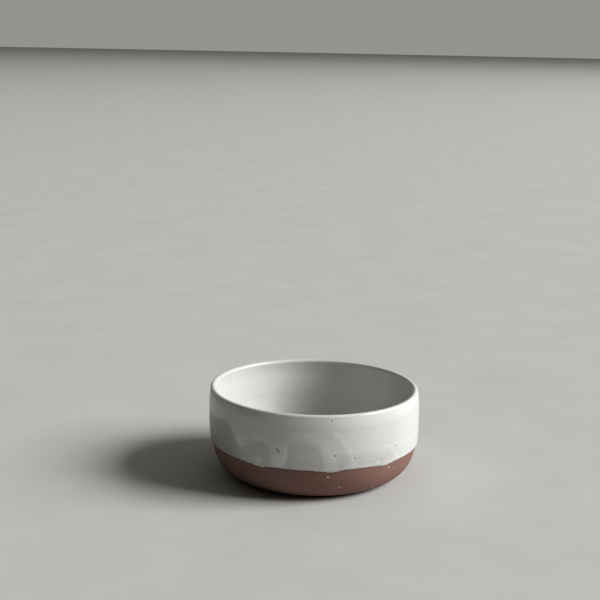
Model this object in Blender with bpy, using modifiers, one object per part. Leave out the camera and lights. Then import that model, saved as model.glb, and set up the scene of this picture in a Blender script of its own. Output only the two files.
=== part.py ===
"""Prep bowl: a small wheel-thrown bowl of red clay, glazed white inside and down to a wavy line outside.

It was thrown and fired as one piece, so it is one solid. Metres, +Z up, and the origin is the middle of
the foot, on the surface that the bowl stands on. The glaze is part of the solid: it shows as a low step
where it ends above the bare clay.
"""

import functools
import math

import bmesh
import bpy
import numpy as np
from mathutils import Vector

# The outside, measured over the glaze
HEIGHT = 0.0483
BELLY_DIAMETER = 0.1150
BELLY_HEIGHT = 0.0290
RIM_DIAMETER = 0.1102
FOOT_DIAMETER = 0.0820

# How the side leaves the foot, comes to the belly and goes on to the lip
HEEL_ANGLE = math.radians(12)
HEEL_PULL = 0.0100
FLANK_PULL = 0.0200
SHOULDER_PULL = 0.0070

# Thicknesses
LIP_THICKNESS = 0.0030
LIP_LEAN = math.radians(8)
WALL_THICKNESS = 0.0042
FLOOR_THICKNESS = 0.0050

# Inside, the level floor ends this far within the foot's edge, and a cove joins it to the wall
FLOOR_SETBACK = 0.0075
COVE_PULL = 0.0160

# Underneath, a flat ring carries the bowl round a shallow turned recess
FOOT_RING_WIDTH = 0.0070
FOOT_RECESS = 0.0012
RECESS_SLOPE = 0.0012

# The glaze ends in a rounded edge, which sags where the glaze ran down
GLAZE_THICKNESS = 0.00035
GLAZE_LINE_HEIGHT = 0.0192
GLAZE_EDGE_ROUNDING = 0.0005
# For each sag, its turn in degrees, its depth, and how far it reaches back and on round the bowl in degrees
SAGS = (
    (-160, 0.0004, 10, 9),
    (-119, 0.0010, 9, 5),
    (-80, 0.0011, 7, 4),
    (-47, 0.0011, 10, 4),
    (-8, 0.0003, 10, 9),
    (31, 0.0008, 9, 5),
    (68, 0.0010, 8, 6),
    (104, 0.0006, 10, 5),
    (147, 0.0009, 9, 6),
)

# Facets round the bowl, and along the stretches of its section
TURNS = 88
FLANK_FACETS = 20
SHOULDER_FACETS = 5
LIP_FACETS = 4
COVE_FACETS = 9

MERGE_DISTANCE = 0.00005
SMOOTH_ANGLE = math.radians(35)

GLAZE_COLOUR = (0.76, 0.75, 0.72, 1.0)
GLAZE_ROUGHNESS = 0.25
CLAY_COLOUR = (0.33, 0.17, 0.12, 1.0)
CLAY_ROUGHNESS = 0.8


def bezier(start, start_pull, end_pull, end, count):
    """Points of a cubic curve, without its first one, so that curves can follow each other."""
    p0, p3 = Vector(start), Vector(end)
    p1, p2 = p0 + Vector(start_pull), p3 - Vector(end_pull)
    points = []
    for i in range(1, count + 1):
        t = i / count
        s = 1 - t
        points.append(s**3 * p0 + 3 * s * s * t * p1 + 3 * s * t * t * p2 + t**3 * p3)
    return points


@functools.cache
def bare_side():
    """The clay under the glaze, from the belly down to the edge of the foot."""
    belly = (BELLY_DIAMETER / 2 - GLAZE_THICKNESS, BELLY_HEIGHT)
    foot = (FOOT_DIAMETER / 2, 0.0)
    heel = -HEEL_PULL * Vector((math.cos(HEEL_ANGLE), math.sin(HEEL_ANGLE)))
    return [Vector(belly)] + bezier(belly, (0, -FLANK_PULL), heel, foot, FLANK_FACETS)


def side_radius(height):
    """Radius of the bare clay at a height between the foot and the belly."""
    side = bare_side()[::-1]
    return float(np.interp(height, [p.y for p in side], [p.x for p in side]))


def inside():
    """From the middle of the floor out, round the cove and up the wall to the inner edge of the lip."""
    floor_level = FOOT_RECESS + FLOOR_THICKNESS
    floor_radius = FOOT_DIAMETER / 2 - FLOOR_SETBACK
    points = [Vector((0, floor_level)), Vector((floor_radius, floor_level))]
    wall = (BELLY_DIAMETER / 2 - WALL_THICKNESS, BELLY_HEIGHT)
    points += bezier(points[-1], (COVE_PULL, 0), (0, COVE_PULL), wall, COVE_FACETS)
    edge = lip_point(math.pi + LIP_LEAN)
    lean = SHOULDER_PULL * Vector((-math.sin(LIP_LEAN), math.cos(LIP_LEAN)))
    return points + bezier(wall, (0, SHOULDER_PULL), lean, edge, SHOULDER_FACETS)


def lip_point(turn):
    """A point of the round lip. A turn of 0 faces out, and a quarter turn faces up."""
    radius = LIP_THICKNESS / 2
    middle = Vector((RIM_DIAMETER / 2, HEIGHT - radius))
    return middle + radius * Vector((math.cos(turn), math.sin(turn)))


def lip():
    """Over the lip, from the inside to the outside, with a point on its crest."""
    inner, crest, outer = math.pi + LIP_LEAN, math.pi / 2, LIP_LEAN
    steps = [i / LIP_FACETS for i in range(1, LIP_FACETS + 1)]
    turns = [inner + (crest - inner) * step for step in steps]
    turns += [crest + (outer - crest) * step for step in steps]
    return [lip_point(turn) for turn in turns]


def glazed_side():
    """From the lip down over the belly to the glaze's edge, then the bare clay down to the foot."""
    belly = (BELLY_DIAMETER / 2, BELLY_HEIGHT)
    lean = SHOULDER_PULL * Vector((math.sin(LIP_LEAN), -math.cos(LIP_LEAN)))
    points = bezier(lip_point(LIP_LEAN), lean, (0, -SHOULDER_PULL), belly, SHOULDER_FACETS)
    flank = bare_side()[1:]
    edge_top = GLAZE_LINE_HEIGHT + GLAZE_EDGE_ROUNDING
    points += [p + Vector((GLAZE_THICKNESS, 0)) for p in flank if p.y > edge_top]
    points.append(on_side(edge_top, GLAZE_THICKNESS))
    points.append(on_side(GLAZE_LINE_HEIGHT, GLAZE_THICKNESS / 2))
    points.append(on_side(GLAZE_LINE_HEIGHT, 0))
    return points + [p for p in flank if p.y < GLAZE_LINE_HEIGHT - GLAZE_EDGE_ROUNDING]


def on_side(height, out):
    """A point on the clay at this height, moved out by some glaze."""
    return Vector((side_radius(height) + out, height))


def underside():
    """From the inner edge of the foot ring up its slope and in over the recess to the axis."""
    ring_inside = FOOT_DIAMETER / 2 - FOOT_RING_WIDTH
    recess_radius = ring_inside - RECESS_SLOPE
    return [Vector((ring_inside, 0)), Vector((recess_radius, FOOT_RECESS)), Vector((0, FOOT_RECESS))]


def turned(name, points, collection):
    """A closed solid, turned from a half section that starts and ends on the axis."""
    mesh = bpy.data.meshes.new(name + "_section")
    edges = [(i, i + 1) for i in range(len(points) - 1)]
    mesh.from_pydata([(p.x, 0.0, p.y) for p in points], edges, [])
    section = bpy.data.objects.new(name + "_section", mesh)
    collection.objects.link(section)
    screw = section.modifiers.new("Turn", "SCREW")
    screw.axis = "Z"
    screw.angle = math.tau
    screw.steps = screw.render_steps = TURNS
    screw.use_merge_vertices = True
    screw.merge_threshold = MERGE_DISTANCE
    bpy.context.view_layer.update()
    seen = section.evaluated_get(bpy.context.evaluated_depsgraph_get())
    solid = bpy.data.objects.new(name, bpy.data.meshes.new_from_object(seen))
    solid.data.name = name
    collection.objects.link(solid)
    bpy.data.objects.remove(section)
    return solid


def sag(angle):
    """How far the glaze's edge hangs below its line at an angle round the bowl."""
    deepest = 0.0
    for turn, depth, back, on in SAGS:
        away = math.remainder(angle - math.radians(turn), math.tau)
        reach = math.radians(on if away > 0 else back)
        deepest = max(deepest, depth * math.exp(-((away / reach) ** 2)))
    return deepest


def let_edge_sag(solid):
    """Slides the outside down along its own curve where the glaze sags, most at the glaze's edge and not
    at all at the foot and the belly."""
    for vertex in solid.data.vertices:
        x, y, height = vertex.co
        radius = math.hypot(x, y)
        if not 0 < height < BELLY_HEIGHT or radius < side_radius(height) - MERGE_DISTANCE:
            continue
        if height < GLAZE_LINE_HEIGHT:
            share = height / GLAZE_LINE_HEIGHT
        else:
            share = (BELLY_HEIGHT - height) / (BELLY_HEIGHT - GLAZE_LINE_HEIGHT)
        moved = height - share * sag(math.atan2(y, x))
        grown = (radius + side_radius(moved) - side_radius(height)) / radius
        vertex.co = (x * grown, y * grown, moved)


def principled(name, colour, roughness):
    """A plain glazed or clay finish."""
    material = bpy.data.materials.new(name)
    material.use_nodes = True
    shader = material.node_tree.nodes["Principled BSDF"]
    shader.inputs["Base Color"].default_value = colour
    shader.inputs["Roughness"].default_value = roughness
    shader.inputs["Metallic"].default_value = 0.0
    return material


def paint(solid):
    """White glaze all over, and bare clay on the outside faces below the glaze's edge."""
    solid.data.materials.append(principled("white_glaze", GLAZE_COLOUR, GLAZE_ROUGHNESS))
    solid.data.materials.append(principled("red_clay", CLAY_COLOUR, CLAY_ROUGHNESS))
    floor_level = FOOT_RECESS + FLOOR_THICKNESS
    for face in solid.data.polygons:
        x, y, height = face.center
        line = GLAZE_LINE_HEIGHT - sag(math.atan2(y, x))
        outside = math.hypot(x, y) > side_radius(max(height, 0)) - WALL_THICKNESS / 2
        under = height < floor_level / 2
        face.material_index = 1 if under or (outside and height < line) else 0


def round_off(solid):
    """Shades the turned faces smooth and triangulates them."""
    form = bmesh.new()
    form.from_mesh(solid.data)
    bmesh.ops.recalc_face_normals(form, faces=form.faces)
    bmesh.ops.triangulate(form, faces=form.faces)
    form.to_mesh(solid.data)
    form.free()
    solid.data.shade_smooth()
    solid.data.set_sharp_from_angle(angle=SMOOTH_ANGLE)


def main():
    for old in list(bpy.data.objects):
        bpy.data.objects.remove(old)
    collection = bpy.data.collections.new("prep_bowl")
    bpy.context.scene.collection.children.link(collection)
    bowl = turned("bowl", inside() + lip() + glazed_side() + underside(), collection)
    let_edge_sag(bowl)
    round_off(bowl)
    paint(bowl)


main()
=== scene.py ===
"""The looks of the prep bowl: white glaze over red clay, on a plain pale floor in soft light from the right.

Two pieces stand for the bowl's one solid: the clay body, and the coat of glaze that is fused to it. Metres,
+Z up, the origin in the middle of the foot. Heights are measured from the floor. The tables give turns round
the bowl in degrees, -90 towards the camera, and heights and sizes in millimetres where they don't say metres.
"""

import math

import bpy
import numpy as np
from mathutils import Matrix, Vector


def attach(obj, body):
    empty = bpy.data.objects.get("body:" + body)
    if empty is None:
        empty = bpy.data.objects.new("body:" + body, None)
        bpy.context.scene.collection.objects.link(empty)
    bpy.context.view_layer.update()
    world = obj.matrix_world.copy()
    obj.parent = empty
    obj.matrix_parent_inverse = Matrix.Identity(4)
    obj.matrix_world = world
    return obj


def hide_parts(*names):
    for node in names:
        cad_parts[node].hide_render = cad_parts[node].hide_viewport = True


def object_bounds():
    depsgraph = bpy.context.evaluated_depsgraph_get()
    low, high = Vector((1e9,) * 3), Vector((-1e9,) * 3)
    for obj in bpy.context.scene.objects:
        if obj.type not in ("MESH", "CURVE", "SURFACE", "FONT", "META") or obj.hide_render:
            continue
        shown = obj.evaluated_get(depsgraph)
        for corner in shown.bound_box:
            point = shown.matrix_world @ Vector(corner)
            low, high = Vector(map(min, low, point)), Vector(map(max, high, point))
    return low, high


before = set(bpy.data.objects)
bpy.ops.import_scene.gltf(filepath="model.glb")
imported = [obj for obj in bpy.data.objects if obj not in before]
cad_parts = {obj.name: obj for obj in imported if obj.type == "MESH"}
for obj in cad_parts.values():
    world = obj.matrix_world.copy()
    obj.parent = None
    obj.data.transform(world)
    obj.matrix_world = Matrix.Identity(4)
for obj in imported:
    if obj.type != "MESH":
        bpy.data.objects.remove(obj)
cad_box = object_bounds()

# The bowl's section, as in the solid
HEIGHT = cad_box[1][2]
BELLY_RADIUS = cad_box[1][0]
BELLY_HEIGHT = 0.0290
RIM_RADIUS = 0.0551
FOOT_RADIUS = 0.0410
HEEL_ANGLE = math.radians(12)
HEEL_PULL = 0.0100
FLANK_PULL = 0.0200
SHOULDER_PULL = 0.0070
LIP_RADIUS = 0.0015
LIP_LEAN = math.radians(8)
WALL_THICKNESS = 0.0042
FLOOR_THICKNESS = 0.0050
FLOOR_SETBACK = 0.0075
COVE_PULL = 0.0160
FOOT_RING_WIDTH = 0.0070
FOOT_RECESS = 0.0012
RECESS_SLOPE = 0.0012
FLOOR_LEVEL = FOOT_RECESS + FLOOR_THICKNESS
GLAZE_THICKNESS = 0.00035
GLAZE_LINE_HEIGHT = 0.0192

# Sags in the glaze's edge: turn, depth in metres, and reach back and on round the bowl in degrees
SAGS = (
    (-160, 0.0004, 10, 9), (-119, 0.0010, 7.5, 5), (-80, 0.0011, 7, 4), (-47, 0.0011, 10, 5.5),
    (-8, 0.0003, 10, 9), (31, 0.0008, 9, 5), (68, 0.0010, 8, 6), (104, 0.0006, 10, 5), (147, 0.0009, 9, 6),
)
# Small drips in that edge, and nicks, whose depth is negative: turn, depth in metres, width in degrees
NICKS = (
    (-131.4, 0.00018, 0.5), (-127.0, 0.00016, 0.6), (-124.4, -0.00030, 1.1), (-117.4, 0.00026, 0.7),
    (-115.4, -0.00014, 0.7), (-104.0, 0.00010, 0.6), (-97.0, 0.00012, 0.5), (-88.4, 0.00030, 0.5),
    (-75.5, 0.00020, 0.5), (-69.3, 0.00012, 0.6), (-61.0, 0.00010, 0.5), (-50.8, 0.00014, 0.5),
    (-48.7, 0.00042, 0.7), (-46.2, -0.00030, 0.9), (-31.7, 0.00014, 1.2), (12.0, 0.00016, 0.7),
    (44.0, 0.00020, 0.6), (75.0, -0.00014, 0.8), (97.0, 0.00018, 0.6), (126.0, 0.00014, 0.7),
    (165.0, 0.00018, 0.8),
)
# Fine fraying between them, in metres, and how many waves make it up
FRAY = 0.000020
FRAY_WAVES = 26

# Where the second, thicker dip of glaze ends: turn and height of points along its fingered lower edge. A
# height under the glaze's own edge means that both dips go down to it.
SECOND_DIP = (
    (-180, 34), (-168, 35.8), (-157, 36.2), (-152.7, 36.9), (-148.7, 37.6), (-144.4, 37.9), (-140.6, 37.0),
    (-138.6, 35.6), (-137, 33.5), (-135.4, 31.0), (-133, 28.6), (-130.1, 27.1), (-127.3, 28.1),
    (-125.3, 29.9), (-120.3, 32.5), (-117.2, 32.9), (-114.9, 31.9), (-113.5, 30), (-112.6, 27.4),
    (-112.1, 21.6), (-110.4, 20.4), (-108.2, 20.2), (-106.1, 20.8), (-105, 22.5), (-104.2, 25.3),
    (-103.7, 29.2), (-103.1, 32.4), (-96.8, 32.8), (-90.2, 32.6), (-88.2, 31.7), (-86.9, 29.6),
    (-85.8, 25.9), (-84.6, 22), (-83.9, 16), (-77.8, 16), (-77.6, 30), (-77.3, 36), (-75.5, 34.6),
    (-73.3, 31.8), (-71.3, 29), (-70.7, 25), (-70.4, 16), (-63, 16), (-60, 21.5), (-55.5, 23.5),
    (-51, 25.6), (-46, 25.2), (-43, 22), (-42.4, 16),
)
# The round windows that it leaves on the back: turn, half width in degrees, height of the top
BACK_WINDOWS = (
    (12, 7, 31), (30, 12, 36), (71, 15, 28), (104, 8, 35), (119, 8, 32), (151, 7, 25), (180, 13, 34),
)
# Where its edge is softer: turn, half width in degrees, how much softer
SOFT_EDGES = ((-75, 5, 1.4), (-113, 4, 0.9))
# Where its windows are fainter: turn, half width in degrees, how much fainter low down, and how much more
# than that further up
FAINT_WINDOWS = ((-74, 4.5, 0.25, 1.4), (-52, 12, 0.6, 0), (-96, 8, 0.36, 0.5))
# Fat ridges where it ran together: strength, width, and turn and height of points along each
RIDGES = (
    (0.30, 2.5, ((-136.5, 36.5), (-134.5, 33), (-132.8, 30.2), (-130, 28.0))),
    (0.80, 1.0, (
        (-104, 31.5), (-104.7, 25.8), (-105.5, 23.2), (-106.7, 21.6), (-108.4, 21.1), (-110.2, 21.6),
    )),
    (0.42, 2.8, ((-99.5, 36.6), (-95, 37.6), (-90.8, 37.2), (-86.4, 34.8), (-83.2, 30.5), (-81, 26))),
    (0.44, 1.5, (
        (-79, 38.6), (-77.5, 37.2), (-75.1, 34.8), (-72.9, 32), (-70.9, 29), (-70.3, 25.7), (-70.7, 22.5),
    )),
    (0.15, 1.4, ((-126, 30.5), (-121, 33.8), (-117, 34), (-114, 32.4))),
)
# Paler blotches: turn, height, radius, strength
BLOTCHES = (
    (-131.4, 29.8, 2.8, 1.0), (-107.2, 29.8, 4.0, 0.75), (-107.4, 24.6, 4.2, 1.0), (-119.0, 21.6, 2.4, 0.65),
    (-54.2, 21.2, 0.9, 1.0), (-40.4, 22.4, 1.3, 0.45), (-68.0, 22.2, 1.4, 0.6), (-81.5, 22.6, 3.4, 0.26),
    (-100.0, 46.0, 2.2, 0.3), (22.0, 22.5, 1.6, 0.8), (70.0, 21.5, 1.8, 0.8), (112.0, 23.0, 1.4, 0.8),
    (160.0, 27.5, 2.0, 0.8), (-99.0, 25.0, 6.0, 0.26),
)

# Hand-thrown: how far the side stands out from true at a height, towards the right and the left
OUT_ON_RIGHT = ((0, 0), (3, 0.30), (9, 0.40), (15, 0.10), (20, 0.30), (30, 0.05), (40, 0), (48.3, 0))
OUT_ON_LEFT = (
    (0, 0), (6, 0.05), (15, -0.25), (19, -0.20), (23, 0.15), (29, 0.30), (38, 0.30), (43, 0.45), (48.3, 0.65),
)
# The floor is true out to the first of these radii, and past the second the side is as uneven as it gets
TRUE_RADIUS, UNEVEN_RADIUS = 0.034, 0.042
# Throwing rings: height of each wave, how many waves it climbs in a turn, and its strength
OUTSIDE_RINGS = ((1.9, 1, 1.0), (2.7, 1, 0.8), (4.6, 2, 0.9), (7.5, 1, 1.2))
INSIDE_RINGS = ((6.4, 1, 1.0), (9.8, 1, 0.8))
CLAY_RINGS = ((1.3, 1, 1.0), (2.1, 1, 0.8), (3.7, 2, 0.8))
# Marks that the turning tool left underneath
TURNED_MARK_PITCH = 0.0044

# Relief: how far each form stands out, or lies in, in metres
EDGE_BEAD = 0.00007
SECOND_DIP_STEP = 0.00008
FAT_RELIEF = 0.00004
SHOULDER_RELIEF = 0.00004
LIP_GROOVE = 0.00009
GLAZE_WOBBLE = 0.00004
OUTSIDE_RING_RELIEF = 0.000014
INSIDE_RING_RELIEF = 0.000035
CLAY_WOBBLE = 0.00003
CLAY_RING_RELIEF = 0.000007
TURNED_MARK_RELIEF = 0.00006
# The glaze's face is rolled over this width at its edge, and the edge itself is tucked into the clay
EDGE_ROLL = 0.0006
EDGE_TUCK = 0.00004
# Its hidden back lies this far inside the clay
BACK_DEPTH = 0.0002

# Columns round the bowl, a third closer on the side towards the camera and as much wider on the back
COLUMNS = 640
CLOSER_IN_FRONT = 0.34
EVEN_TURNS = np.linspace(-math.pi, math.pi, COLUMNS, endpoint=False)
TURNS = np.sort((EVEN_TURNS - CLOSER_IN_FRONT * np.cos(EVEN_TURNS) + math.pi) % math.tau - math.pi)
# Rows along the glaze, from its edge up the outside, over the lip and down the inside: where the first ones
# lie, then how far apart they are, or how many
EDGE_ROWS = np.array([0, 0.03, 0.08, 0.16, 0.26, 0.38, 0.52, 0.68, 0.86, 1.06, 1.3, 1.6, 1.95]) / 1000
OUTSIDE_START = 0.0024
OUTSIDE_ROW = 0.00051
LIP_REACH = 0.0026
LIP_ROWS = 18
INSIDE_START = 0.0036
INSIDE_ROW = 0.0017
BACK_ROWS = 16
# Rows of the clay: under the glaze, down its side and over the recess
COVERED_ROWS = 30
CLAY_SIDE_ROWS = 72
RECESS_ROWS = 30
# The last row stays this far from the middle of the floor
MIDDLE_GAP = 0.001
# The clay's own side begins this far above the glaze's edge
CLAY_OVERLAP = 0.0015

# Iron specks in the glaze on the front: turn, height, radius
SPECKS = (
    (-81.0, 45.5, 0.42), (-79.1, 27.3, 0.48), (-68.4, 25.2, 0.38), (-49.2, 38.5, 0.25), (-46.2, 37.4, 0.24),
    (-41.9, 27.5, 0.41), (-111.4, 47.9, 0.26), (-66.6, 47.4, 0.27), (-75.7, 21.5, 0.26), (-47.2, 27.2, 0.24),
)
# One long speck like a scratch: the turn and height of its ends, and the radius there and in its middle
LONG_SPECK = ((-109.4, 30.1), (-107.5, 28.15))
LONG_SPECK_DOTS = 8
LONG_SPECK_RADII = (0.27, 0.39)
# Painted highlights of pale glaze beside some of the specks: turn, height, radius
SPECK_HIGHLIGHTS = ((-79.6, 26.9, 0.42), (-69.0, 24.8, 0.42), (-81.5, 45.2, 0.42))
# Pale grit in the clay on the front, partly a painted glint: turn, height, radius
GRIT = (
    (-82.2, 15.4, 0.30), (-81.6, 15.4, 0.30), (-74.9, 8.8, 0.37), (-52.1, 5.6, 0.42), (-45.4, 16.2, 0.41),
    (-79.6, 3.8, 0.28), (-86.1, 16.7, 0.11), (-41.3, 14.4, 0.16), (-38.6, 12.8, 0.13), (-75.6, 14.5, 0.09),
    (-48.3, 13.4, 0.10),
)

# Colours. A pair is the two shades between which a surface drifts.
THICK_GLAZE = ((0.554, 0.554, 0.540, 1), (0.530, 0.527, 0.514, 1))
THIN_GLAZE = ((0.480, 0.470, 0.459, 1), (0.451, 0.439, 0.428, 1))
# paler glaze where it ran fat, also used for painted light on the right, under the rim and on the bead
FAT_AND_LIT_GLAZE = (0.700, 0.696, 0.676, 1)
# grey of thin glaze, also used for painted shade on the left
BARE_AND_SHADED_GLAZE = (0.318, 0.303, 0.291, 1)
GLAZE_LINES = (0.42, 0.386, 0.37, 1)
# wear on the lip, partly painted shadow
WORN_AND_SHADED_GLAZE = (0.37, 0.336, 0.32, 1)
# the groove under the lip, partly thin glaze and partly painted shade
GROOVE_AND_SHADE_GLAZE = (0.30, 0.27, 0.25, 1)
# painted highlights beside some of the specks
SPECK_HIGHLIGHT_GLAZE = (0.82, 0.815, 0.80, 1)
IRON = (0.050, 0.036, 0.033, 1)
# the clay pairs run from the left to the right: painted light, lighter and redder towards the window
PALE_CLAY = ((0.182, 0.099, 0.088, 1), (0.208, 0.109, 0.085, 1))
DEEP_CLAY = ((0.152, 0.083, 0.075, 1), (0.174, 0.091, 0.072, 1))
CLAY_GRAIN = (0.260, 0.139, 0.102, 1)
CLAY_LINES = (0.139, 0.067, 0.051, 1)
# darker clay just under the glaze's edge
EDGE_DARKENED_CLAY = (0.070, 0.034, 0.028, 1)
# pale grit, partly a painted glint
LIGHT_GRIT_AND_GLINT = (0.94, 0.89, 0.82, 1)
DARK_GRIT = (0.09, 0.045, 0.035, 1)
PALE_FLOOR = ((0.428, 0.425, 0.410, 1), (0.452, 0.448, 0.433, 1))

# The floor round the bowl, and the window that lights it
FLOOR_RADIUS = 40.0
FLOOR_SIDES = 64
WINDOW_DISTANCE = 20.0
WINDOW_TURN = math.radians(-4.8)
WINDOW_RISE = math.radians(33)
WINDOW_SIZE = (10.4, 8.8)
WINDOW_POWER = 7400.0
WINDOW_COLOUR = (0.985, 0.998, 1.0)
WINDOW_AIM = (0, 0, 0.03)
# The room: its colour, its brightest side, and how bright it is from the dimmest side to that one and above
ROOM_COLOUR = (1.0, 0.98, 0.90, 1)
ROOM_BRIGHT_SIDE = (0.45, 1.0, 0.25)
ROOM_SIDES = (0.015, 0.30)
ROOM_ABOVE = 0.07

# Where the camera stands and how it is turned, in metres and radians, and its view in pixels
CAMERA_DISTANCE = 0.6352
CAMERA_HEIGHT = 0.2305
CAMERA_YAW = -0.0143
CAMERA_PITCH = 0.2090
CAMERA_ROLL = 0.0202
FOCAL_PIXELS = 1200
FRAME_PIXELS = 600


# Section

def bezier(p0, p1, p2, p3, count=60):
    """Points along a cubic curve, its first one left out."""
    p0, p1, p2, p3 = (np.array(point) for point in (p0, p1, p2, p3))
    t = np.linspace(0, 1, count + 1)[1:, None]
    s = 1 - t
    return s**3 * p0 + 3 * s * s * t * p1 + 3 * s * t * t * p2 + t**3 * p3


def lip_point(turn):
    """A point of the round lip. A turn of 0 faces out, and a quarter turn faces up."""
    middle = np.array([RIM_RADIUS, HEIGHT - LIP_RADIUS])
    return middle + LIP_RADIUS * np.array([math.cos(turn), math.sin(turn)])


def flank_section():
    """The unglazed clay from the foot's edge up to the belly."""
    foot = np.array([FOOT_RADIUS, 0.0])
    belly = np.array([BELLY_RADIUS - GLAZE_THICKNESS, BELLY_HEIGHT])
    heel = HEEL_PULL * np.array([math.cos(HEEL_ANGLE), math.sin(HEEL_ANGLE)])
    return np.vstack([foot, bezier(foot, foot + heel, belly - (0, FLANK_PULL), belly)])


def glaze_section():
    """The glaze's face from its edge up over the lip, down the inside and in to the middle of the floor."""
    edge_radius = np.interp(GLAZE_LINE_HEIGHT, FLANK[:, 1], FLANK[:, 0])
    edge = np.array([[edge_radius + GLAZE_THICKNESS, GLAZE_LINE_HEIGHT]])
    side = FLANK[FLANK[:, 1] > GLAZE_LINE_HEIGHT] + (GLAZE_THICKNESS, 0)
    lean = SHOULDER_PULL * np.array([math.sin(LIP_LEAN), -math.cos(LIP_LEAN)])
    belly = np.array([BELLY_RADIUS, BELLY_HEIGHT])
    outer = lip_point(LIP_LEAN)
    shoulder = bezier(belly, belly + (0, SHOULDER_PULL), outer + lean, outer)
    lip = np.array([lip_point(a) for a in np.linspace(LIP_LEAN, math.pi + LIP_LEAN, 50)[1:]])
    inner = lip_point(math.pi + LIP_LEAN)
    wall = np.array([BELLY_RADIUS - WALL_THICKNESS, BELLY_HEIGHT])
    inner_wall = bezier(inner, inner + lean, wall + (0, SHOULDER_PULL), wall)
    floor = np.array([FOOT_RADIUS - FLOOR_SETBACK, FLOOR_LEVEL])
    cove = bezier(wall, wall - (0, COVE_PULL), floor + (COVE_PULL, 0), floor)
    level = np.array([[floor[0] * (1 - k / 20), floor[1]] for k in range(1, 20)])
    return np.vstack([edge, side, shoulder, lip, inner_wall, cove, level])


def along(section):
    """Distance along a section to each of its points."""
    gaps = np.hypot(*np.diff(section, axis=0).T)
    return np.concatenate([[0], np.cumsum(gaps)])


def at_stations(section, stations, reach=0.0002):
    """Points and outward normals of a section at distances along it. The normals are read over a short
    reach each way."""
    way_along = along(section)
    points, ahead, behind = (
        np.stack([np.interp(places, way_along, section[:, k]) for k in (0, 1)], 1)
        for places in (stations, stations + reach, stations - reach)
    )
    way = ahead - behind
    way /= np.hypot(*way.T)[:, None]
    return points, np.stack([way[:, 1], -way[:, 0]], 1)


FLANK = flank_section()
GLAZE = glaze_section()
# Where the glaze's section reaches the crest of the lip, and its whole length
CREST = int(np.argmax(GLAZE[:, 1]))
TO_CREST = along(GLAZE)[CREST]
TO_MIDDLE = along(GLAZE)[-1]
# The outside from the foot to the crest of the lip, over the glaze where there is glaze
OUTSIDE = np.vstack([FLANK[FLANK[:, 1] < GLAZE_LINE_HEIGHT], GLAZE[:CREST]])


# Places and waves round the bowl

def smoothstep(low, high, value):
    t = np.clip((value - low) / (high - low), 0, 1)
    return t * t * (3 - 2 * t)


def hump(value, middle, width, power=2):
    """1 in the middle and nothing well past the width. A higher power gives a flatter top."""
    return np.exp(-(((value - middle) / width) ** power))


def turned_from(turns, degrees):
    """The shorter way round from a turn in degrees, in radians."""
    return (turns - math.radians(degrees) + math.pi) % math.tau - math.pi


def rising(start, end):
    """For each column, 0 before one turn and 1 past another, smooth between them."""
    return smoothstep(math.radians(start), math.radians(end), TURNS)


def hump_at(turn, width, power=4):
    """For each column, a hump at a turn, with its half width in degrees."""
    return hump(turned_from(TURNS, turn), 0, math.radians(width), power)


def sag(turns):
    """How far the glaze's edge hangs below its line."""
    deepest = np.zeros_like(turns)
    for turn, depth, back, on in SAGS:
        away = turned_from(turns, turn)
        reach = np.radians(np.where(away > 0, on, back))
        deepest = np.maximum(deepest, depth * hump(away, 0, reach))
    return deepest


def frayed(turns):
    """Drips, nicks and fine fraying along the glaze's edge, as a distance down."""
    random = np.random.RandomState(21)
    total = np.zeros_like(turns)
    for _ in range(FRAY_WAVES):
        total += np.cos(random.randint(24, 130) * turns + random.uniform(0, math.tau))
    total *= FRAY * (0.6 + 0.4 * np.cos(3 * turns + 1.0))
    for turn, depth, width in NICKS:
        total += depth * hump(turned_from(turns, turn), 0, math.radians(width))
    return total


def out_of_true(turns, heights):
    """How far the hand-thrown side stands out from a true turned one."""
    total = 0.0
    for table, way in ((OUT_ON_RIGHT, 0.0), (OUT_ON_LEFT, math.pi)):
        table = np.array(table, float) / 1000
        facing = np.clip(np.cos(turns - way), 0, 1) ** 1.5
        total = total + facing * np.interp(heights, table[:, 0], table[:, 1])
    return total


def made_uneven(turns, radii, heights):
    """The radii with the side's unevenness, which the floor hasn't."""
    return radii + out_of_true(turns, heights) * smoothstep(TRUE_RADIUS, UNEVEN_RADIUS, radii)


def waves(heights, seed, count, around, up, size):
    """Smooth unevenness that closes round the bowl: around is the most waves in a turn, up the shortest
    wave in height."""
    random = np.random.RandomState(seed)
    total = np.zeros(np.broadcast(TURNS, heights).shape)
    for _ in range(count):
        n = random.randint(0, around + 1)
        k = random.uniform(-1, 1) * math.tau / up
        total += random.uniform(0.3, 1) * np.cos(n * TURNS + k * heights + random.uniform(0, math.tau))
    return size * total / math.sqrt(count)


def rings(heights, waves_up, seed):
    """Lines that climb round the wall in spirals. A climb is a whole number, so that its wave closes."""
    random = np.random.RandomState(seed)
    total = np.zeros(np.broadcast(TURNS, heights).shape)
    for tall, climb, share in waves_up:
        phase = climb * TURNS + random.uniform(0, math.tau)
        total += share * np.cos(math.tau * heights * 1000 / tall + phase)
    return total


def distance_to(line, heights):
    """Distance on the unrolled side to a line of points, each a turn and a height in mm."""
    line = np.array(line, float)
    line = np.stack([np.radians(line[:, 0]) * BELLY_RADIUS, line[:, 1] / 1000], 1)
    x = np.broadcast_to(TURNS * BELLY_RADIUS, heights.shape)
    nearest = np.full(heights.shape, 1.0)
    for (x0, y0), (x1, y1) in zip(line[:-1], line[1:]):
        long = (x1 - x0) ** 2 + (y1 - y0) ** 2
        share = np.clip(((x - x0) * (x1 - x0) + (heights - y0) * (y1 - y0)) / long, 0, 1)
        nearest = np.minimum(nearest, np.hypot(x - x0 - share * (x1 - x0), heights - y0 - share * (y1 - y0)))
    return nearest


# How the glaze lies

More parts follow.
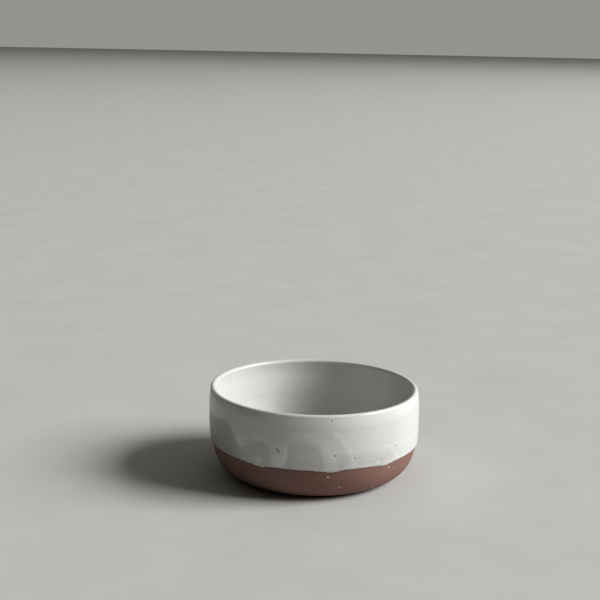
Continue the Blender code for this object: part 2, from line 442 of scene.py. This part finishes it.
def second_dip_edge():
    """Turn and height in mm of points along the whole of the second dip's edge."""
    below = SECOND_DIP[-1][1]
    turns = np.arange(-40, 180.1, 1.5)
    heights = np.full(turns.shape, below, float)
    for turn, half_width, top in BACK_WINDOWS:
        heights = np.maximum(heights, below + (top - below) * hump(turns, turn, half_width, 4))
    return np.vstack([np.array(SECOND_DIP, float), np.stack([turns, heights], 1)])


def above_second_dip_edge(heights):
    """Distance to the second dip's edge, negative below it, where only the first dip lies."""
    places = second_dip_edge()
    edge = np.interp(np.degrees(TURNS), places[:, 0], places[:, 1]) / 1000
    return distance_to(places, heights) * np.where(heights > edge, 1, -1)


def second_dip(heights, above):
    """1 where the second dip lies and 0 where it doesn't, with a soft edge. It is softest on the left, and
    soft at the top of the windows in front."""
    softness = 1 + 0.8 * smoothstep(0.029, 0.032, heights) * rising(-106, -100)
    softness = softness + 0.9 * rising(-95, -90.5) + 1.6 * rising(-135, -149)
    softness = softness + sum(more * hump_at(turn, width) for turn, width, more in SOFT_EDGES)
    return smoothstep(-0.0007, 0.0005, above / softness)


def faintness(heights):
    """How faint the windows in the second dip are."""
    up = smoothstep(0.021, 0.029, heights)
    return sum(hump_at(turn, width) * (low + more * up) for turn, width, low, more in FAINT_WINDOWS)


def greyer_and_shaded(dip, heights):
    """Greyer glaze: thin in the window on the left, painted shade on the left side, a little low in front."""
    window = (1 - dip) * rising(-122, -144) * rising(-180, -166)
    low_front = 0.36 * hump_at(-68, 18) * hump(heights, 0.0225, 0.0055, 4)
    # painted shade: a broad greyer patch on the shaded left side
    return np.maximum(window, 0.26 * hump_at(-140, 14, 2) + low_front)


def fatness(heights, above):
    """Where the glaze ran together: ridges and blotches, and a band over the edge of the windows behind."""
    total = np.zeros(heights.shape)
    for strength, width, line in RIDGES:
        total = np.maximum(total, strength * hump(distance_to(line, heights) * 1000, 0, width))
    blotches = np.zeros(heights.shape)
    for turn, height, radius, strength in BLOTCHES:
        across = turned_from(TURNS, turn) * BELLY_RADIUS * 1000
        away = np.hypot(across, heights * 1000 - height)
        blotches = np.maximum(blotches, strength * hump(away, 0, radius))
    behind = rising(-34, -11) * rising(178, 155)
    gathered = (0.22 + 0.16 * np.cos(5 * TURNS + 1)) * behind * hump(above, 0.0013, 0.0014)
    return total + blotches + gathered


def rolled_edge(s):
    """The glaze's thickness at a distance from its edge, less its full thickness: a roll with a bead."""
    roll = np.sqrt(1 - (1 - np.minimum(s, EDGE_ROLL) / EDGE_ROLL) ** 2)
    return GLAZE_THICKNESS * (roll - 1) + EDGE_BEAD * hump(s, 0.0009, 0.0006)


def lip_groove(s):
    """A groove under the lip on the left; its dark colour is partly thin glaze and partly painted shade."""
    return hump(s, TO_CREST - LIP_REACH, 0.0005) * (rising(-137, -166) + rising(115, 172))


def glaze_relief(s, radii, heights, dip, fat):
    """How far the glaze's face stands out from its section, s being the distance from its edge."""
    on_outside = s < TO_CREST
    # the rings are strongest on the right outside, and fade out at the lip and in the middle of the floor
    on_right = 0.35 + 0.65 * rising(-83, -52) * rising(92, 34)
    outer = OUTSIDE_RING_RELIEF * rings(heights, OUTSIDE_RINGS, seed=3) * on_right
    inner = INSIDE_RING_RELIEF * rings(s, INSIDE_RINGS, seed=9) * smoothstep(0.003, 0.010, radii)
    wobble = waves(heights, seed=5, count=14, around=7, up=0.03, size=GLAZE_WOBBLE)
    off_lip = smoothstep(0.0020, 0.0060, np.abs(s - TO_CREST))
    relief = off_lip * (wobble + np.where(on_outside, outer, inner))
    # the layers build up over the first 3 mm
    layers = (SECOND_DIP_STEP * (dip - 1) + FAT_RELIEF * fat) * np.minimum(s / 0.003, 1)
    # one broad ring under the rim in front
    shoulder = SHOULDER_RELIEF * hump(heights, 0.0430, 0.0024) * rising(-132, -109) * rising(-46, -69)
    return relief + (layers + shoulder) * on_outside - LIP_GROOVE * lip_groove(s)


# Meshes

def linked(name, data):
    """A new object in the scene."""
    made = bpy.data.objects.new(name, data)
    bpy.context.scene.collection.objects.link(made)
    return made


def turned_mesh(name, radii, heights, first_pole, last_pole, fields):
    """A closed mesh of rows by columns with a pole at each end. fields are named values of its points."""
    rows, columns = radii.shape
    xyz = np.stack([radii * np.cos(TURNS), radii * np.sin(TURNS), heights], -1).reshape(-1, 3)
    xyz = np.vstack([xyz, [0, 0, first_pole], [0, 0, last_pole]])
    index = np.arange(rows * columns).reshape(rows, columns)
    on = np.roll(index, -1, 1)
    quads = np.stack([index[:-1], on[:-1], on[1:], index[1:]], -1).reshape(-1, 4)
    start = np.stack([np.full(columns, rows * columns), on[0], index[0]], -1)
    end = np.stack([np.full(columns, rows * columns + 1), index[-1], on[-1]], -1)
    mesh = bpy.data.meshes.new(name)
    mesh.from_pydata(xyz.tolist(), [], quads.tolist() + start.tolist() + end.tolist())
    for key, values in fields.items():
        layer = mesh.attributes.new(key, "FLOAT", "POINT")
        flat = np.concatenate([values.reshape(-1), [values[0].mean(), values[-1].mean()]])
        layer.data.foreach_set("value", flat.astype(np.float32))
    mesh.shade_smooth()
    mesh.validate()
    mesh.update()
    return linked(name, mesh)


def all_round(points):
    """Radii and heights of a section's points in every column."""
    return np.repeat(points[:, 0:1], COLUMNS, 1), np.repeat(points[:, 1:2], COLUMNS, 1)


def glaze_rows(stations):
    """The glaze's section at distances along it, in every column, with its sags and the side's unevenness:
    radii and heights, and how far its normals lean out and up."""
    points, normals = at_stations(GLAZE, stations)
    radii, heights = all_round(points)
    share = np.clip((BELLY_HEIGHT - heights) / (BELLY_HEIGHT - GLAZE_LINE_HEIGHT), 0, 1)
    share = share * (stations < TO_CREST)[:, None]
    moved = heights - share * sag(TURNS) - share**12 * frayed(TURNS)
    radii = radii + np.interp(moved, FLANK[:, 1], FLANK[:, 0]) - np.interp(heights, FLANK[:, 1], FLANK[:, 0])
    return made_uneven(TURNS, radii, moved), moved, normals[:, 0:1], normals[:, 1:2]


def make_glaze():
    """The coat of glaze: its face in fine rows, and a plain back a little way into the clay."""
    stations = np.concatenate([
        EDGE_ROWS,
        np.arange(OUTSIDE_START, TO_CREST - LIP_REACH, OUTSIDE_ROW),
        np.linspace(TO_CREST - LIP_REACH, TO_CREST + LIP_REACH, LIP_ROWS),
        np.arange(TO_CREST + INSIDE_START, TO_MIDDLE - MIDDLE_GAP, INSIDE_ROW),
    ])
    radii, heights, out, up = glaze_rows(stations)
    s = stations[:, None]
    on_outside = s < TO_CREST
    above = above_second_dip_edge(heights)
    full_dip = np.where(on_outside, second_dip(heights, above), 1.0)
    dip = 1 - (1 - full_dip) * (1 - 0.5 * faintness(heights))
    fat = fatness(heights, above) * on_outside
    thick = rolled_edge(s) + glaze_relief(s, radii, heights, dip, fat) * np.minimum(s / 0.001, 1)
    thick[0] -= EDGE_TUCK

    back_stations = np.concatenate([[0.0003, 0.0012], np.linspace(0.004, TO_MIDDLE - MIDDLE_GAP, BACK_ROWS)])
    back_radii, back_heights, back_out, back_up = glaze_rows(back_stations)
    deep = GLAZE_THICKNESS + BACK_DEPTH

    # the face from the middle of the floor out to the edge, then the back to the middle again
    all_radii = np.vstack([(radii + thick * out)[::-1], back_radii - deep * back_out])
    all_heights = np.vstack([(heights + thick * up)[::-1], back_heights - deep * back_up])

    # paler on its bead, partly thicker glaze and partly a painted highlight; painted light under the rim
    # on the right and along the right side that faces the window; and wear under the rim on the left,
    # partly painted shadow
    edge_shine = 0.08 * hump(s, 0.0009, 0.0007)
    # painted light: paler under the rim on the right
    painted_light_under_rim = 0.45 * hump(heights, 0.0452, 0.0018) * rising(-123, -109) * rising(109, 80)
    # painted light: paler along the right side, which faces the window
    painted_light_on_right = 0.26 * rising(-50, -34) * rising(60, 20)
    # wear on the lip on the left, partly thin glaze and partly painted shadow
    wear_and_shadow = rising(-112, -129) + rising(92, 126)
    fields = {
        "thin": 1 - dip,
        "fat": np.clip(fat + edge_shine + painted_light_under_rim + painted_light_on_right, 0, 1),
        "grey_and_shade": greyer_and_shaded(full_dip, heights),
        "lip_wear_and_shadow": hump(heights, 0.0457, 0.0016) * wear_and_shadow,
    }
    fields = {key: values * on_outside for key, values in fields.items()}
    # the groove darkens the glaze, partly as thin glaze and partly as painted shade
    fields["lip_groove_and_shade"] = lip_groove(s)
    fields = {key: np.vstack([values[::-1], np.zeros_like(back_radii)]) for key, values in fields.items()}
    return turned_mesh("glaze_coat", all_radii, all_heights, FLOOR_LEVEL, FLOOR_LEVEL - deep, fields)


def covered_clay():
    """The clay under the glaze, from the middle of the floor over the lip and down the outside."""
    stations = np.concatenate([np.linspace(TO_MIDDLE - MIDDLE_GAP, 0.004, COVERED_ROWS), [0.0025]])
    points, normals = at_stations(GLAZE, stations)
    radii, heights = all_round(points - GLAZE_THICKNESS * normals)
    return made_uneven(TURNS, radii, heights), heights


def clay_side():
    """The outside from just under the glaze down to the foot, with its fine rings, and how much darker it is
    just under the glaze's edge.
    """
    low = FLANK[FLANK[:, 1] < GLAZE_LINE_HEIGHT + CLAY_OVERLAP]
    points, normals = at_stations(low, np.linspace(along(low)[-1], 0, CLAY_SIDE_ROWS))
    radii, heights = all_round(points)
    relief = CLAY_RING_RELIEF * rings(heights, CLAY_RINGS, seed=8)
    relief = relief + waves(heights, seed=11, count=10, around=5, up=0.03, size=CLAY_WOBBLE)
    # the foot's edge stays true
    relief = relief * smoothstep(0.0002, 0.0020, heights)
    glaze_edge = GLAZE_LINE_HEIGHT - sag(TURNS) - frayed(TURNS)
    # darker just under the glaze's edge
    under_edge_darkening = smoothstep(glaze_edge - 0.0010, glaze_edge - 0.0002, heights)
    radii = radii + relief * normals[:, 0:1] + out_of_true(TURNS, heights)
    return radii, heights + relief * normals[:, 1:2], under_edge_darkening


def underside():
    """The flat foot ring, its slope up into the recess, and the recess with its turned marks."""
    ring_inside = FOOT_RADIUS - FOOT_RING_WIDTH
    recess = ring_inside - RECESS_SLOPE
    crease = 0.00006
    rows = [(FOOT_RADIUS - 0.0002, 0)]
    rows += [(FOOT_RADIUS - 0.001 * k, 0) for k in range(1, 7)]
    rows += [(ring_inside + 0.0002, 0), (ring_inside, crease)]
    rows += [(ring_inside - RECESS_SLOPE * k / 4, FOOT_RECESS * k / 4) for k in (1, 2, 3)]
    rows += [(recess, FOOT_RECESS - crease), (recess - 0.0003, FOOT_RECESS)]
    rows += [(recess * (1 - k / RECESS_ROWS), FOOT_RECESS) for k in range(1, RECESS_ROWS)]
    radii, heights = all_round(np.array(rows, float))
    marks = TURNED_MARK_RELIEF * np.cos(math.tau * radii / TURNED_MARK_PITCH + TURNS)
    marks = marks * smoothstep(0.002, 0.007, radii) * smoothstep(0.0, 0.002, recess - 0.0004 - radii)
    return radii, heights + marks


def make_clay():
    """The clay body: unglazed on the foot and the lowest part of the side, and plain under the glaze."""
    covered_radii, covered_heights = covered_clay()
    side_radii, side_heights, under_edge_darkening = clay_side()
    under_radii, under_heights = underside()
    radii = np.vstack([covered_radii, side_radii, under_radii])
    heights = np.vstack([covered_heights, side_heights, under_heights])
    fields = {"under_edge_darkening": np.vstack([0 * covered_radii, under_edge_darkening, 0 * under_radii])}
    return turned_mesh("clay_body", radii, heights, FLOOR_LEVEL - GLAZE_THICKNESS, FOOT_RECESS, fields)


# Materials

class Nodes:
    """Makes the nodes of a material or world, and links them as they are named."""

    def __init__(self, tree, shader, place):
        self.tree = tree
        self.shader = tree.nodes[shader]
        self.place = self.make("ShaderNodeTexCoord").outputs[place]

    def make(self, kind, **settings):
        node = self.tree.nodes.new(kind)
        for key, value in settings.items():
            setattr(node, key, value)
        return node

    def put(self, socket, value):
        """Links an output to this input, or sets a plain value on it."""
        if isinstance(value, bpy.types.NodeSocket):
            self.tree.links.new(value, socket)
        else:
            socket.default_value = value

    def filled(self, node, **values):
        """A node with its inputs set by name, an underscore standing for a space."""
        for key, value in values.items():
            self.put(node.inputs[key.replace("_", " ")], value)
        return node

    def math(self, operation, a, b=0.0):
        node = self.make("ShaderNodeMath", operation=operation)
        self.put(node.inputs[0], a)
        self.put(node.inputs[1], b)
        return node.outputs[0]

    def vector(self, operation, *values):
        node = self.make("ShaderNodeVectorMath", operation=operation)
        for socket, value in zip(node.inputs, values):
            self.put(socket, value)
        return node.outputs

    def noise(self, scale, detail, roughness, place=None):
        node = self.make("ShaderNodeTexNoise")
        self.filled(node, Vector=place or self.place, Scale=scale, Detail=detail, Roughness=roughness)
        return node.outputs["Fac"]

    def bands(self, pitch_scale):
        """Fine level lines round the bowl."""
        node = self.filled(self.make("ShaderNodeMapping"), Vector=self.place, Scale=(9, 9, pitch_scale))
        return self.noise(1, 3, 0.5, node.outputs[0])

    def ramp(self, value, low, high, first=0.0, last=1.0):
        """Smoothly from first to last, as the value goes from low to high."""
        node = self.make("ShaderNodeMapRange", interpolation_type="SMOOTHSTEP")
        self.filled(node, Value=value, From_Min=low, From_Max=high, To_Min=first, To_Max=last)
        return node.outputs[0]

    def mix(self, share, a, b):
        node = self.make("ShaderNodeMix", data_type="RGBA")
        return self.filled(node, Factor=share, A=a, B=b).outputs["Result"]

    def shaded(self, colour, strength, over):
        """The colour with another over it, as strong as a value times a number."""
        value, number = strength
        return self.mix(self.math("MULTIPLY", value, number), colour, over)

    def field(self, name):
        """A value that the mesh holds at its points."""
        return self.make("ShaderNodeAttribute", attribute_name=name).outputs["Fac"]

    def shaken(self, scale, reach):
        """The place, pushed about by fine noise, up to half this reach each way."""
        noise = self.filled(self.make("ShaderNodeTexNoise"), Vector=self.place, Scale=scale)
        push = self.vector("MULTIPLY_ADD", noise.outputs["Color"], [reach] * 3, [-reach / 2] * 3)
        return self.vector("ADD", self.place, push["Vector"])["Vector"]

    def spots(self, dots, place):
        """1 inside these dots, each a point and a radius, with a soft edge."""
        total = 0.0
        for point, radius in dots:
            away = self.vector("DISTANCE", place, point)["Value"]
            total = self.math("MAXIMUM", total, self.ramp(away, radius * 1.25, radius * 0.6))
        return total

    def scattered(self, scale, share, low, high):
        """Scattered dots: the cells of a Voronoi pattern that a chance picks, shaded by distance."""
        node = self.filled(self.make("ShaderNodeTexVoronoi"), Vector=self.place, Scale=scale)
        split = self.make("ShaderNodeSeparateColor")
        self.put(split.inputs[0], node.outputs["Color"])
        picked = self.math("LESS_THAN", split.outputs[0], share)
        return self.math("MULTIPLY", picked, self.ramp(node.outputs["Distance"], high, low))

    def bump(self, height, distance, strength, normal=None):
        node = self.filled(self.make("ShaderNodeBump"), Height=height, Distance=distance, Strength=strength)
        if normal:
            self.put(node.inputs["Normal"], normal)
        return node.outputs[0]

    def finish(self, colour, roughness, specular):
        self.filled(self.shader, Base_Color=colour, Roughness=roughness, Specular_IOR_Level=specular)


def new_material(name):
    """A material and its nodes, placed by the object's own coordinates."""
    material = bpy.data.materials.new(name)
    material.use_nodes = True
    return material, Nodes(material.node_tree, "Principled BSDF", "Object")


def strewn(random, count, *ranges):
    """Rows of random numbers, one from each range."""
    return [[random.uniform(low, high) for low, high in ranges] for _ in range(count)]


def round_bowl(turn, radius, height):
    """A point of the section, turned round the bowl onto its uneven side."""
    turn = math.radians(turn)
    radius = float(made_uneven(turn, radius, height))
    return (radius * math.cos(turn), radius * math.sin(turn), float(height))


def dots_outside(places):
    """Points on the bowl's outside and radii, from turns, heights and radii in mm."""
    dots = []
    for turn, height, radius in places:
        out = np.interp(height / 1000, OUTSIDE[:, 1], OUTSIDE[:, 0])
        dots.append((round_bowl(turn, out, height / 1000), radius / 1000))
    return dots


def dots_inside(places):
    """Points on the inside and radii, from turns, reaches from the lip's crest down the wall and in over the
    floor, and radii in mm."""
    dots = []
    for turn, reach, radius in places:
        place = at_stations(GLAZE[CREST:], np.array([reach / 1000]))[0][0]
        dots.append((round_bowl(turn, *place), radius / 1000))
    return dots


def glaze_specks():
    """The specks on the front, the long one in a row of dots, and others strewn on the back and inside."""
    (turn, height), (last_turn, last_height) = LONG_SPECK
    long_speck = []
    for k in range(LONG_SPECK_DOTS):
        share = k / (LONG_SPECK_DOTS - 1)
        in_middle = 2 <= k < LONG_SPECK_DOTS - 2
        place = (turn + share * (last_turn - turn), height + share * (last_height - height))
        long_speck.append((*place, LONG_SPECK_RADII[in_middle]))
    # turn, height or reach, and radius
    random = np.random.RandomState(4)
    behind = strewn(random, 14, (-25, 205), (22, 46), (0.26, 0.55))
    within = strewn(random, 9, (-180, 180), (6, 80), (0.26, 0.5))
    return dots_outside([*SPECKS, *long_speck, *behind]) + dots_inside(within)


def glaze_material():
    """Satin white glaze, greyer where it lies thin, with fine lines, wear and iron specks, and with painted
    light and shade.
    """
    material, n = new_material("white_glaze_procedural")
    broad = n.noise(38, 3, 0.5)
    cloudy = n.noise(160, 4, 0.55)
    lines = n.bands(800)
    thin = n.field("thin")

    thick_colour = n.mix(n.ramp(broad, 0.3, 0.7), *THICK_GLAZE)
    thin_colour = n.mix(n.ramp(cloudy, 0.3, 0.7), *THIN_GLAZE)
    colour = n.mix(n.math("MULTIPLY", thin, n.ramp(cloudy, 0.2, 0.8, 0.75, 1.0)), thick_colour, thin_colour)
    # paler where the glaze ran fat; the field also holds a painted highlight on the bead and painted light on
    # the right
    colour = n.shaded(colour, (n.field("fat"), 0.85), FAT_AND_LIT_GLAZE)
    # greyer where the glaze lies thin and a little low in front, and painted shade on the left side
    colour = n.shaded(colour, (n.field("grey_and_shade"), 0.8), BARE_AND_SHADED_GLAZE)
    colour = n.shaded(colour, (n.ramp(lines, 0.42, 0.68), 0.12), GLAZE_LINES)
    # wear on the lip on the left, partly painted shadow
    colour = n.shaded(colour, (n.field("lip_wear_and_shadow"), n.ramp(cloudy, 0.3, 0.7, 0.40, 0.75)), WORN_AND_SHADED_GLAZE)
    # the groove under the lip, partly thin glaze and partly painted shade
    colour = n.shaded(colour, (n.field("lip_groove_and_shade"), n.ramp(cloudy, 0.35, 0.65, 0.35, 0.85)), GROOVE_AND_SHADE_GLAZE)

    ragged = n.shaken(1500, 0.0005)
    loose = n.math("MULTIPLY", n.scattered(95, 0.02, 0.02, 0.05), 0.8)
    speck = n.math("MAXIMUM", n.spots(glaze_specks(), ragged), loose)
    # painted highlights beside some of the specks
    colour = n.shaded(colour, (n.spots(dots_outside(SPECK_HIGHLIGHTS), ragged), 0.8), SPECK_HIGHLIGHT_GLAZE)
    colour = n.shaded(colour, (speck, 0.93), IRON)

    roughness = n.math("ADD", n.ramp(broad, 0.3, 0.7, 0.28, 0.33), n.math("MULTIPLY", thin, 0.06))
    roughness = n.math("ADD", roughness, n.math("MULTIPLY", speck, 0.2))
    n.finish(colour, roughness, 0.5)

    peel = n.bump(n.noise(640, 3, 0.6), 0.00003, 0.8)
    lined = n.bump(lines, 0.00004, 0.5, peel)
    pitted = n.bump(n.math("SUBTRACT", 1.0, speck), 0.00012, 0.8, lined)
    n.put(n.shader.inputs["Normal"], pitted)
    return material


def clay_material():
    """Dry red clay with grain, fine lines, and pale and dark grit, some pale grit as bright as a painted
    glint.
    Painted light makes it lighter and redder to the right. It is darker along the glaze's edge."""
    material, n = new_material("red_clay_procedural")
    broad = n.noise(45, 3, 0.5)
    fine = n.noise(900, 4, 0.65)
    lines = n.bands(1200)
    across = n.make("ShaderNodeSeparateXYZ")
    n.put(across.inputs[0], n.place)
    # painted light: lighter and redder towards the window on the right, darker to the left
    painted_light_to_right = n.ramp(across.outputs["X"], -0.036, 0.004)

    colour = n.mix(n.ramp(broad, 0.3, 0.7), n.mix(painted_light_to_right, *PALE_CLAY), n.mix(painted_light_to_right, *DEEP_CLAY))
    colour = n.mix(n.ramp(fine, 0.35, 0.75, 0.0, 0.45), colour, CLAY_GRAIN)
    colour = n.mix(n.ramp(lines, 0.45, 0.7, 0.0, 0.3), colour, CLAY_LINES)
    # darker just under the glaze's edge
    colour = n.shaded(colour, (n.field("under_edge_darkening"), 0.24), EDGE_DARKENED_CLAY)

    behind = strewn(np.random.RandomState(6), 14, (-20, 220), (2, 16), (0.16, 0.44))
    loose = n.math("MULTIPLY", n.scattered(130, 0.03, 0.02, 0.045), 0.75)
    light = n.math("MAXIMUM", n.spots(dots_outside([*GRIT, *behind]), n.place), loose)
    # pale grit, partly a painted glint
    colour = n.shaded(colour, (light, 0.96), LIGHT_GRIT_AND_GLINT)
    colour = n.shaded(colour, (n.scattered(210, 0.05, 0.04, 0.10), 0.5), DARK_GRIT)
    n.finish(colour, n.ramp(fine, 0.3, 0.7, 0.72, 0.88), 0.35)

    grain = n.bump(fine, 0.00010, 0.6)
    n.put(n.shader.inputs["Normal"], n.bump(lines, 0.00008, 0.6, grain))
    return material


# Floor, light and camera

def make_floor():
    mesh = bpy.data.meshes.new("floor")
    turns = [math.tau * k / FLOOR_SIDES for k in range(FLOOR_SIDES)]
    outline = [(FLOOR_RADIUS * math.cos(turn), FLOOR_RADIUS * math.sin(turn), 0) for turn in turns]
    mesh.from_pydata(outline, [], [tuple(range(FLOOR_SIDES))])
    floor = linked("floor", mesh)
    material, n = new_material("pale_floor")
    n.finish(n.mix(n.ramp(n.noise(18, 4, 0.6), 0.3, 0.7), *PALE_FLOOR), 0.85, 0.2)
    floor.data.materials.append(material)


def make_window():
    """A big window far off on the right."""
    data = bpy.data.lights.new("window", "AREA")
    data.shape = "RECTANGLE"
    data.size, data.size_y = WINDOW_SIZE
    data.energy = WINDOW_POWER
    data.color = WINDOW_COLOUR
    light = linked("window", data)
    level = WINDOW_DISTANCE * math.cos(WINDOW_RISE)
    light.location = (
        level * math.cos(WINDOW_TURN),
        level * math.sin(WINDOW_TURN),
        WINDOW_DISTANCE * math.sin(WINDOW_RISE),
    )
    light.rotation_euler = (Vector(WINDOW_AIM) - light.location).to_track_quat("-Z", "Y").to_euler()


def make_room():
    """A room that is pale behind and on the right, and dim elsewhere but for a soft ceiling."""
    world = bpy.data.worlds.new("studio")
    world.use_nodes = True
    n = Nodes(world.node_tree, "Background", "Generated")
    facing = n.vector("DOT_PRODUCT", n.place, Vector(ROOM_BRIGHT_SIDE).normalized())["Value"]
    apart = n.make("ShaderNodeSeparateXYZ")
    n.put(apart.inputs[0], n.place)
    above = n.ramp(apart.outputs["Z"], 0.45, 0.85, 0.0, ROOM_ABOVE)
    strength = n.math("ADD", n.ramp(facing, -0.35, 0.85, *ROOM_SIDES), above)
    n.filled(n.shader, Color=ROOM_COLOUR, Strength=strength)
    bpy.context.scene.world = world


def make_camera():
    """Stands where the photograph was taken from, as worked out from the bowl's outline in it."""
    yaw, pitch, roll = CAMERA_YAW, CAMERA_PITCH, CAMERA_ROLL
    forward = Vector((math.sin(yaw) * math.cos(pitch), math.cos(yaw) * math.cos(pitch), -math.sin(pitch)))
    right = Vector((math.cos(yaw), -math.sin(yaw), 0))
    up = right.cross(forward)
    turned_right = math.cos(roll) * right + math.sin(roll) * up
    turned_up = -math.sin(roll) * right + math.cos(roll) * up
    data = bpy.data.cameras.new("camera")
    data.sensor_width = 36.0
    data.lens = data.sensor_width * FOCAL_PIXELS / FRAME_PIXELS
    data.clip_start = 0.01
    data.clip_end = 100.0
    camera = linked("camera", data)
    axes = Matrix((turned_right, turned_up, -forward)).transposed()
    camera.matrix_world = Matrix.Translation((0, -CAMERA_DISTANCE, CAMERA_HEIGHT)) @ axes.to_4x4()
    bpy.context.scene.camera = camera


glaze = make_glaze()
glaze.data.materials.append(glaze_material())
clay = make_clay()
clay.data.materials.append(clay_material())
for piece, slot in ((glaze, "white_glaze"), (clay, "red_clay")):
    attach(piece, "root")
    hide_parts("bowl")

make_floor()
make_window()
make_room()
make_camera()
bpy.context.scene.view_settings.view_transform = "Standard"
